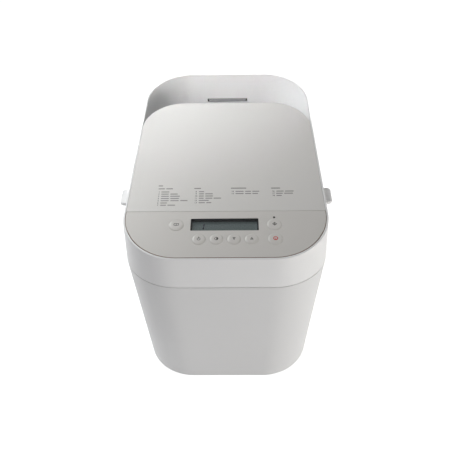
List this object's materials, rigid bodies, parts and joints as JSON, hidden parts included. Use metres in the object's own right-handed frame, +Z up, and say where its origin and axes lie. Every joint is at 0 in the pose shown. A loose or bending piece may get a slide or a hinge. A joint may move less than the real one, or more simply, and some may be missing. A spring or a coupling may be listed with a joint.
{
  "type": "bread machine",
  "caption": "Upright bread machine in a tapered, round-cornered case with a sloping hinged lid, a flush key panel, an oven with a lift-out pan, and a belt-driven kneading blade.",
  "frame": {"origin": "on the floor, under the middle of the case's bounding box", "axes": "+Z up, -Y to the front where the key panel is, +X to the right as seen from the front"},
  "size_m": [0.2836, 0.39, 0.3246],
  "materials": {
    "white_case": "satin moulded",
    "grey_top": "satin, fine metallic grey",
    "grey_key": "satin",
    "black_plastic": "moulded",
    "grey_deck": "satin moulded",
    "display_glass": "polished",
    "display": "printed grey-green",
    "lamp": "smoked",
    "circuit_board": "lacquered",
    "soft_rubber": "moulded",
    "oven_steel": "aluminised sheet",
    "bright_steel": "plated",
    "heater_sheath": "heat-darkened steel",
    "zinc_sheet": "zinc plated",
    "motor_iron": "laminated",
    "pulley_plastic": "moulded",
    "die_cast": "die cast",
    "bearing_bronze": "sintered",
    "non_stick": "non-stick coating on aluminium"
  },
  "bodies": {
    "case": {"lower_housing": "white_case", "upper_housing": "white_case", "left_grip": "white_case", "right_grip": "white_case", "rear_tray": "white_case", "control_panel": "grey_top", "vent_louvre": "black_plastic", "cord_gland": "black_plastic", "panel_carrier": "black_plastic", "key_switches": "black_plastic", "base_plate": "black_plastic", "oven_surround": "grey_deck", "lcd_window": "display_glass", "lcd_module": "display", "indicator_lens": "lamp", "control_board": "circuit_board", "power_board": "circuit_board", "rubber_feet": "soft_rubber", "motor_grommets": "soft_rubber", "drive_belt": "soft_rubber", "oven_liner": "oven_steel", "pan_seat": "oven_steel", "heater_clips": "oven_steel", "base_screws": "bright_steel", "temperature_sensor": "bright_steel", "heater_element": "heater_sheath", "drive_chassis": "zinc_sheet", "motor_housing": "zinc_sheet", "motor_stator": "motor_iron", "shaft_bushes": "bearing_bronze"},
    "drive": {"drive_shaft": "bright_steel", "driven_pulley": "pulley_plastic", "drive_coupler": "die_cast", "shaft_clip": "bright_steel"},
    "motor_rotor": {"motor_shaft": "bright_steel", "motor_pulley": "die_cast", "rotor_core": "motor_iron"},
    "pan": {"bread_pan": "non_stick", "pan_base_ring": "die_cast", "pan_bush": "bearing_bronze", "shaft_seal": "soft_rubber", "handle_pivots": "bright_steel"},
    "blade": {"pan_shaft": "bright_steel", "pan_coupling": "die_cast", "kneading_blade": "non_stick"},
    "bail": {"pan_handle": "bright_steel"},
    "lid": {"lid_shell": "grey_top", "lid_liner": "oven_steel", "lid_seal": "soft_rubber", "lid_screws": "bright_steel", "hinge_pins": "bright_steel"},
    "menu_key": {"menu_button": "grey_key"},
    "start_key": {"start_button": "grey_key"},
    "stop_key": {"stop_button": "grey_key"},
    "timer_key": {"timer_button": "grey_key"},
    "crust_key": {"crust_button": "grey_key"},
    "down_key": {"down_button": "grey_key"},
    "up_key": {"up_button": "grey_key"}
  },
  "joints": [
    {"name": "lid_hinge", "type": "hinge", "parent": "case", "child": "lid", "pos_m": [0, 0.10507, 0.28556], "axis": [-1, 0, 0], "range_deg": [0, 100]},
    {"name": "motor_spin", "type": "hinge", "parent": "case", "child": "motor_rotor", "pos_m": [0, -0.14, 0.02], "axis": [0, 0, 1], "continuous": true},
    {"name": "drive_spin", "type": "hinge", "parent": "case", "child": "drive", "pos_m": [0, -0.006, 0.02], "axis": [0, 0, 1], "continuous": true},
    {"name": "pan_lift", "type": "slide", "parent": "case", "child": "pan", "axis": [0, 0, 1], "range_m": [0, 0.03]},
    {"name": "blade_spin", "type": "hinge", "parent": "pan", "child": "blade", "pos_m": [0, -0.006, 0.07], "axis": [0, 0, 1], "continuous": true},
    {"name": "bail_swing", "type": "hinge", "parent": "pan", "child": "bail", "pos_m": [0, -0.006, 0.199], "axis": [-1, 0, 0], "range_deg": [0, 180]},
    {"name": "menu_press", "type": "slide", "parent": "case", "child": "menu_key", "axis": [0, 0.1959, -0.9806], "range_m": [0, 0.0009], "stiffness_N_per_m": 800},
    {"name": "start_press", "type": "slide", "parent": "case", "child": "start_key", "axis": [0, 0.1959, -0.9806], "range_m": [0, 0.0009], "stiffness_N_per_m": 800},
    {"name": "stop_press", "type": "slide", "parent": "case", "child": "stop_key", "axis": [0, 0.1959, -0.9806], "range_m": [0, 0.0009], "stiffness_N_per_m": 800},
    {"name": "timer_press", "type": "slide", "parent": "case", "child": "timer_key", "axis": [0, 0.1959, -0.9806], "range_m": [0, 0.0009], "stiffness_N_per_m": 800},
    {"name": "crust_press", "type": "slide", "parent": "case", "child": "crust_key", "axis": [0, 0.1959, -0.9806], "range_m": [0, 0.0009], "stiffness_N_per_m": 800},
    {"name": "down_press", "type": "slide", "parent": "case", "child": "down_key", "axis": [0, 0.1959, -0.9806], "range_m": [0, 0.0009], "stiffness_N_per_m": 800},
    {"name": "up_press", "type": "slide", "parent": "case", "child": "up_key", "axis": [0, 0.1959, -0.9806], "range_m": [0, 0.0009], "stiffness_N_per_m": 800}
  ],
  "couplings": [
    {"joint": "drive_spin", "follows": "motor_spin", "ratio": 0.22405},
    {"joint": "blade_spin", "follows": "motor_spin", "ratio": 0.22405}
  ]
}
